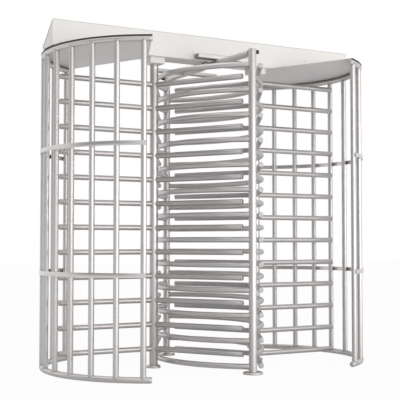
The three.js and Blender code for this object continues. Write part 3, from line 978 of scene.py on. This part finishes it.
# tie arms: a tube from the post, and the plate that holds it under the header
tie = {
    "radius": 0.024,
    "height": 2.1726,
    "postY": -0.6273,
    "fromPost": 0.0274,
    "innerEnd": -0.030,
    "endRounding": 0.004,
    "spacing": 0.15,
    "sides": 32,
    "plate": (-0.042, 0.042, -0.085, -0.006),
    "plateLow": 2.1926,
    "plateHigh": 2.1966,
    "plateEdge": 0.0008,
    "plateShade": (0.0006, 0.0014, 0.0025, 0.0002),  # black strip along the plate's side, painted shade of its edge: out, in, below and short of the plate's top
    "plateShadeEdge": 0.0003,
    "crossRadius": 0.018,
    "crossHeight": 2.1786,
    "crossAt": (-0.283, 0.250, -0.337),  # its two ends and its place across, from the rear
    "weld": 0.0018,
    "capHeight": 2.1780,
    "cap": [(0, 0.0243), (0.014, 0.0243), (0.014, 0.0465), (0.0115, 0.0490), (0, 0.0492)],
    "capEdge": 0.0016,
}
for end, turn in (("front", 0), ("rear", math.pi)):
    start = tie["postY"] + tie["fromPost"]
    stops = roundedRun(tie["innerEnd"] - start, tie["radius"], tie["spacing"],
                       end=tie["endRounding"])
    tube = straightBar("tube", (0, start, tie["height"]), (0, 1, 0), stops, tie["sides"],
                       satinSteel)
    left, right, near, far = tie["plate"]
    low, high = tie["plateLow"], tie["plateHigh"]
    plate = drawnSlab("plate", oblong(left, right, near, far), low, high, headerPaint,
                      tie["plateEdge"])
    # a black strip along one side of the plate: painted shade of the plate's edge
    out, into, below, short = tie["plateShade"]
    plateShade = drawnSlab("plateShade", oblong(left - out, left + into, near, far), low - below,
                     high - short, capPlastic, tie["plateShadeEdge"])
    parts = [tube, plate, plateShade]
    if end == "rear":
        left, right, across = tie["crossAt"]
        stops = roundedRun(right - left, tie["crossRadius"], tie["spacing"],
                           tie["endRounding"], tie["endRounding"])
        parts.append(straightBar("cross", (left, across, tie["crossHeight"]), (1, 0, 0), stops,
                                 tie["sides"], satinSteel))
        rise = tie["crossHeight"] - tie["height"]
        lying = Matrix.Rotation(quarterTurn, 4, "X")
        for side in (0, math.pi):
            seat = saddle(tie["radius"], tie["crossRadius"], rise, count=48)
            ring = weldRing(seat, tie["weld"])
            meeting = Matrix.Translation((0, across, tie["height"]))
            parts.append(moved(ring, meeting @ Matrix.Rotation(side, 4, "Z") @ lying))
    whole = joined(end + "TieArm", parts)
    place = Matrix.Rotation(turn, 4, "Z")
    moved(whole, place)
    give(whole, "frame", "satin_steel", end + "_tie_arm")
    cap = turnedPiece(end + "TieCap", tie["cap"], capPlastic, tie["capEdge"], sides=40)
    toPost = Matrix.Translation((0, tie["postY"], tie["capHeight"]))
    moved(cap, place @ toPost @ Matrix.Rotation(quarterTurn, 4, "Y"))
    give(cap, "frame", "black_plastic", end + "_tie_cap")
print("ties made")

# header: a bent sheet for front, roof and back lip, with an end plate set into each side
hood = {
    "half": 1.230,
    "sheet": 0.0025,
    "path": [(-0.088, 2.1972), (-0.088, 2.3742), (0.098, 2.2122), (0.098, 2.2002)],
    "fold": 0.005,
    "endInset": 0.0036,  # of an end plate, from the bent sheet around it
    "endLift": 0.0004,
    "endShort": 0.0006,  # of an end plate, from the end of the bent sheet
    "endThick": 0.002,
    "endEdge": 0.0005,
    "innerShadeLong": 0.012,  # black strip inside each end, under the roof: painted shade of the roof's edge
    "innerShadeInset": 0.002,
    "innerShadeFront": (0.010, 0.0045),  # its lower and upper edge below the roof's front fold
    "innerShadeBack": (0.004, 0.0022),  # and below the rear fold
    "roofEdgeShade": (0.0012, 0.0090),  # black strip under the roof's sheet, on both ends: painted shade of the roof's edge
    "roofEdgeShadeInset": 0.005,
    "roofEdgeShadeShort": 0.0001,
    "roofEdgeShadeDeep": 0.001,
    "seam": (0.0065, 0.0015),  # its lower and upper edge below the top of the front
    "seamProud": 0.0004,
    "seamDeep": 0.0005,
    "seamShort": 0.002,
    "knuckleY": 0.104,
    "knuckleZ": 2.2024,
    "knuckleRadius": 0.005,
    "knuckleHalf": 0.025,
    "knuckleEdge": 0.0006,
    "knuckles": (-0.8979, 0.8979, 3),  # first, spacing, how many
    "tabLap": 0.001,
    "tabEdge": 0.0004,
    "screwHead": [(0, -0.0004), (0.0055, 0), (0.0046, 0.0015), (0.0026, 0.0023), (0, 0.0024)],
    "screwsAt": [(-1.174, 2.222), (-0.157, 2.250), (0.627, 2.222), (0.824, 2.279)],
    "panEdge": 0.0004,
}
(frontY, bottomZ), (_, topZ), (backY, backZ), _ = hood["path"]
slope = (topZ - backZ) / (backY - frontY)


def makeShell():
    bend = softened(hood["path"], hood["fold"], steps=4)
    count = len(bend)
    points = [(side * hood["half"], p.x, p.y) for side in (-1, 1) for p in bend]
    faces = [(i, i + count, i + 1 + count, i + 1) for i in range(count - 1)]
    shell = meshObject("shell", points, faces, material=headerPaint)
    wall = shell.modifiers.new("wall", "SOLIDIFY")
    wall.thickness = hood["sheet"]
    wall.offset = -1
    wall.use_even_offset = True
    return shaded(outward(settled(shell)))


def makeEnd(side):
    # the end plate, and two black strips that are painted shade under the roof's edge: one inside
    # the plate, one along its top edge
    outer = side * (hood["half"] - hood["endShort"])
    inner = outer - side * hood["endThick"]
    inset = hood["endInset"]
    drop = inset * math.hypot(1, slope)
    plate = [
        (frontY + inset, bottomZ + hood["endLift"]), (backY - inset, bottomZ + hood["endLift"]),
        (backY - inset, backZ + slope * inset - drop),
        (frontY + inset, topZ - slope * inset - drop),
    ]
    # the black strip inside the plate: painted shade under the roof
    nearY, farY = frontY + hood["innerShadeInset"], backY - hood["innerShadeInset"]
    (frontLow, frontHigh), (backLow, backHigh) = hood["innerShadeFront"], hood["innerShadeBack"]
    innerShade = [
        (nearY, topZ - frontLow), (farY, backZ - backLow), (farY, backZ - backHigh),
        (nearY, topZ - frontHigh),
    ]
    # the black strip along the plate's top edge: painted shade under the roof's edge
    inset = hood["roofEdgeShadeInset"]
    y0, y1 = frontY + inset, backY - inset
    z0, z1 = topZ - slope * inset, backZ + slope * inset
    upper, lower = hood["roofEdgeShade"]
    roofEdgeShade = [(y0, z0 - upper), (y1, z1 - upper), (y1, z1 - lower), (y0, z0 - lower)]
    return [
        drawnSlab("end", plate, outer, inner, headerPaint, hood["endEdge"], axis="X"),
        drawnSlab("innerShade", innerShade, inner, inner - side * hood["innerShadeLong"], capPlastic, axis="X"),
        drawnSlab("roofEdgeShade", roofEdgeShade, side * (hood["half"] - hood["roofEdgeShadeShort"]),
                  outer - side * hood["roofEdgeShadeDeep"], capPlastic, axis="X"),
    ]


def makeKnuckles():
    # hinge knuckles on tabs along the rear edge
    radius, halfLong = hood["knuckleRadius"], hood["knuckleHalf"]
    profile = [(0, -halfLong), (radius, -halfLong), (radius, halfLong), (0, halfLong)]
    knuckle = turnedPiece("knuckle", profile, headerPaint, hood["knuckleEdge"], steps=2,
                          sides=24)
    place = Matrix.Translation((0, hood["knuckleY"], hood["knuckleZ"]))
    moved(knuckle, place @ Matrix.Rotation(quarterTurn, 4, "Y"))
    low = hood["knuckleZ"]
    outline = oblong(backY - hood["tabLap"], hood["knuckleY"], low, low + hood["sheet"])
    tab = drawnSlab("tab", outline, -halfLong, halfLong, headerPaint, hood["tabEdge"], axis="X")
    first, spacing, count = hood["knuckles"]
    return repeated(joined("leaf", [knuckle, tab]), headerPaint, centre=(first, 0, 0),
                    levels=count, step=(spacing, 0, 0))


parts = [makeShell(), *makeEnd(-1), *makeEnd(1)]
low, high = hood["seam"]
outline = oblong(frontY - hood["seamProud"], frontY + hood["seamDeep"], topZ - low, topZ - high)
reach = hood["half"] - hood["seamShort"]
parts.append(drawnSlab("seam", outline, -reach, reach, seamPaint, axis="X"))
parts.append(makeKnuckles())
for x, z in hood["screwsAt"]:
    screw = turnedPiece("screw", hood["screwHead"], seamPaint, sides=20)
    moved(screw, Matrix.Translation((x, frontY, z)) @ Matrix.Rotation(quarterTurn, 4, "X"))
    parts.append(screw)
give(joined("hoodShell", parts), "hood", "painted_sheet", "header_hood")
pan = dressed("header_pan", headerPaint, hood["panEdge"], segments=1)
give(pan, "frame", "painted_sheet", "header_pan")
print("header made")

# light fitting: opal front between two dark end caps, under a grey trim, on a rail whose dark
# paint is painted shade under the fitting
light = {
    "start": -0.150,
    "end": 0.290,
    "capLong": 0.003,
    "low": 2.2052,
    "high": 2.2362,
    "back": -0.0883,
    "front": -0.1483,
    "rail": 0.0022,
    "trim": 0.0035,
    "lap": 0.001,  # of rail and trim over the opal, and short of the fitting's ends
    "opalBack": 0.0006,  # how far behind the caps' front the opal lies
    "railBack": 0.0004,
    "corner": 0.004,
    "edge": 0.0005,
    "capEdge": 0.0008,
}


def lightPart(name, low, high, setBack, start, end, material, edge=0.0):
    back, front = light["back"], light["front"] + setBack
    corners = [(back, (low + high) / 2), (back, high), (front, high), (front, low), (back, low)]
    outline = softenedLoop(corners, light["corner"], steps=4)
    return drawnSlab(name, outline, start, end, material, edge, axis="X")


start, end, low, high = light["start"], light["end"], light["low"], light["high"]
railTop, trimBottom = low + light["rail"], high - light["trim"]
capLong, lap = light["capLong"], light["lap"]
fitting = joined("passageLight", [
    lightPart("opal", railTop, trimBottom, light["opalBack"], start + capLong, end - capLong,
              opalPlastic),
    lightPart("rail", low, railTop + lap, light["railBack"], start + lap, end - lap, railShadePaint,
              light["edge"]),
    lightPart("trim", trimBottom - lap, high, light["railBack"], start + lap, end - lap,
              seamPaint, light["edge"]),
    lightPart("cap", low, high, 0.0, start, start + capLong, endPaint, light["capEdge"]),
    lightPart("cap", low, high, 0.0, end - capLong, end, endPaint, light["capEdge"]),
])
give(fitting, "hood", "white_diffuser", "passage_light")

# cover lock: a painted rosette round a bright core with a key slot, whose black fill is painted
# shade, and its cam behind
lock = {
    "at": (-0.243, -0.088, 2.2192),
    "rosette": [(0, 0.0003), (0.0110, 0.0003), (0.0110, 0.0014), (0.0102, 0.0022), (0, 0.0022)],
    "core": [
        (0, -0.0204), (0.0090, -0.0204), (0.0090, 0.0), (0.0058, 0.0), (0.0058, 0.0024),
        (0.0054, 0.0028), (0, 0.0028),
    ],
    "edge": 0.0003,
    "slot": (0.0009, 0.0038),
    "slotDepth": (0.0020, 0.00285),
    "cam": (-0.005, 0.005, -0.015, 0.005),
    "camDepth": (-0.0204, -0.0174),
    "camEdge": 0.0006,
}
rounding = {"edge": lock["edge"], "steps": 2, "sides": 40}
rosette = turnedPiece("rosette", lock["rosette"], headerPaint, **rounding)
plug = turnedPiece("plug", lock["core"], brightPlate, **rounding)
# the key slot is a thin black piece on the core's face: painted shade in the slot
halfWide, halfLong = lock["slot"]
slotShade = drawnSlab("slotShade", oblong(-halfWide, halfWide, -halfLong, halfLong), *lock["slotDepth"],
                  capPlastic)
cam = drawnSlab("cam", oblong(*lock["cam"]), *lock["camDepth"], zincPlate, lock["camEdge"])
# the lathe axis becomes the lock's axis, and the cam hangs down from it
key = joined("keyLock", [plug, rosette, slotShade, cam])
moved(key, Matrix.Translation(lock["at"]) @ Matrix.Rotation(quarterTurn, 4, "X"))
give(key, "lock_plug", "zinc_steel", "key_lock")
print("light and lock made")

# control box: its solid's own shape, with the joint of its lid and the lid's four screws
control = {
    "half": (0.100, 0.055),
    "across": -0.005,
    "corner": 0.003,
    "lid": (2.2352, 2.2362),  # joint between the box and its lid
    "lidProud": 0.0001,
    "top": 2.2442,
    "screwInset": 0.011,
    "screwHead": [(0, -0.0004), (0.0042, 0), (0.0038, 0.0006), (0.0024, 0.0013), (0, 0.0014)],
}
halfLong, halfWide = control["half"]
case = dressed("control_box", boxPaint, control["corner"], segments=3)
corners = oblongFromMiddle(halfLong + control["lidProud"], halfWide + control["lidProud"],
                           control["across"])
outline = softenedLoop(corners, control["corner"])
parts = [case, drawnSlab("lidJoint", outline, *control["lid"], capPlastic)]
toScrew = halfLong - control["screwInset"]
for side in (-1, 1):
    screw = turnedPiece("lidScrew", control["screwHead"], zincPlate, sides=16)
    across = control["across"] + side * (halfWide - control["screwInset"])
    parts.append(repeated(screw, zincPlate, centre=(-toScrew, across, control["top"]),
                          levels=2, step=(2 * toScrew, 0, 0)))
give(joined("controlBox", parts), "frame", "box_grey", "control_box")

# hinge rod and locking gear keep their solids' shapes, with their edges broken
gear = {"rodEdge": 0.0004, "magnetEdge": 0.0015}
rod = dressed("hood_hinge_rod", zincPlate, gear["rodEdge"], segments=1)
give(rod, "frame", "zinc_steel", "hood_hinge_rod")
for half in halves:
    magnet, disc, pawl = (half + part for part in ("_lock_magnet", "_index_disc", "_lock_pawl"))
    block = dressed(magnet, capPlastic, gear["magnetEdge"])
    give(block, "frame", "black_plastic", magnet)
    give(dressed(disc, zincPlate), half + "_rotor", "zinc_steel", disc)
    give(dressed(pawl, zincPlate), half + "_pawl", "zinc_steel", pawl)
print("locking gear made")

# floor, world, lamps and camera
studio = {
    "floorSize": 60.0,
    "floorShade": 0.80,
    "floorCloud": 0.005,
    "floorScale": 0.6,
    "floorRough": 0.9,
    "floorWhite": 0.955,  # how much of the floor the camera sees as plain white
    "mirroredWhite": (0.25, 0.95),  # share of that in what the steel mirrors, close and far off; the lower share close by is painted shade round the machine's foot
    "mirroredReach": (1.1, 2.8),
    "worldGlow": 0.67,
    "flagToward": (-0.985, -0.174, 0.0),  # a grey flag stands here, which only steel mirrors
    "flagEdge": 0.743,
    "flagCore": 0.940,
    "flagDepth": 0.58,
}
lamps = {
    "key": {"at": (1.85, -7.4, 1.6), "aim": (0, 0, 1.3), "size": (9.0, 2.8), "watts": 215},
    "top": {"at": (-3.0, 0.5, 7.0), "aim": (0, 0, 1.0), "size": (3.5, 3.5), "watts": 30},
}
viewpoint = {
    "at": (-3.4897, -6.0645, 0.8828),
    "pitch": 2.459,
    "yaw": 29.61,
    "sensor": 36,
    "lens": 86.11,
    "shift": (-0.00285, 0.00288),
}


def seenBy(recipe):
    # 1 for what the camera sees itself, and 1 for what is mirrored or seen through glass
    camera = recipe.make("ShaderNodeLightPath", out="Is Camera Ray")
    mirrored = camera.beside("Is Glossy Ray") + camera.beside("Is Transmission Ray")
    return camera, mirrored.kept()


def makeFloor():
    half = studio["floorSize"] / 2
    points = [(x, y, 0) for x, y in oblong(-half, half, -half, half)]
    material, recipe, place = newMaterial("studioFloor", {"Roughness": studio["floorRough"]})
    shades = [(studio["floorShade"] + sign * studio["floorCloud"],) * 3 for sign in (-1, 1)]
    cloud = recipe.noise(place, studio["floorScale"])
    shader = material.node_tree.nodes["Principled BSDF"]
    recipe.link(shader, {"Base Color": recipe.blend(cloud, *shades)})
    # the camera sees mostly plain white, and the shadow through the rest
    white = recipe.make("ShaderNodeEmission", None, {"Color": (1, 1, 1, 1), "Strength": 1.0})
    # the steel sees the floor close to the machine with less plain white, so darker: painted shade
    # round the machine's foot
    away = recipe.make("ShaderNodeVectorMath", {"operation": "LENGTH"}, {0: place}, "Value")
    close, far = studio["mirroredReach"]
    low, high = studio["mirroredWhite"]
    openFloor = low + (high - low) * ((away - close) / (far - close)).kept()
    camera, mirrored = seenBy(recipe)
    share = (camera + mirrored * openFloor).kept() * studio["floorWhite"]
    plain = Wire(recipe, shader.outputs[0])
    mixed = recipe.make("ShaderNodeMixShader", None, {0: share, 1: plain, 2: white})
    recipe.link(material.node_tree.nodes["Material Output"], {"Surface": mixed})
    meshObject("floor", points, [(0, 1, 2, 3)], material=material)


def makeWorld():
    world = bpy.data.worlds.new("studio")
    bpy.context.scene.world = world
    world.use_nodes = True
    recipe = Recipe(world.node_tree)
    toward = recipe.make("ShaderNodeTexCoord", out="Generated")
    facing = recipe.make("ShaderNodeVectorMath", {"operation": "DOT_PRODUCT"},
                         {0: toward, 1: studio["flagToward"]}, "Value")
    edge, core = studio["flagEdge"], studio["flagCore"]
    flag = ((facing - edge) / (core - edge)).kept()
    camera, mirrored = seenBy(recipe)
    seen = (camera + mirrored * (1 - flag * studio["flagDepth"])).kept()
    other = 1 - (camera + mirrored).kept()
    background = world.node_tree.nodes["Background"]
    background.inputs["Color"].default_value = (1, 1, 1, 1)
    recipe.link(background, {"Strength": seen + other * studio["worldGlow"]})


def makeLamp(name, facts):
    lamp = bpy.data.lights.new(name, "AREA")
    lamp.shape = "RECTANGLE"
    lamp.size, lamp.size_y = facts["size"]
    lamp.energy = facts["watts"]
    holder = bpy.data.objects.new(name, lamp)
    bpy.context.scene.collection.objects.link(holder)
    holder.location = facts["at"]
    toward = Vector(facts["aim"]) - Vector(facts["at"])
    holder.rotation_euler = toward.to_track_quat("-Z", "Y").to_euler()


def makeCamera():
    data = bpy.data.cameras.new("camera")
    data.sensor_width = viewpoint["sensor"]
    data.lens = viewpoint["lens"]
    data.shift_x, data.shift_y = viewpoint["shift"]
    camera = bpy.data.objects.new("camera", data)
    bpy.context.scene.collection.objects.link(camera)
    camera.location = viewpoint["at"]
    pitch, yaw = math.radians(viewpoint["pitch"]), math.radians(viewpoint["yaw"])
    camera.rotation_euler = (quarterTurn + pitch, 0, -yaw)
    bpy.context.scene.camera = camera


makeFloor()
makeWorld()
for name, facts in lamps.items():
    makeLamp(name, facts)
makeCamera()
bpy.context.scene.view_settings.view_transform = "Standard"
print("studio ready")
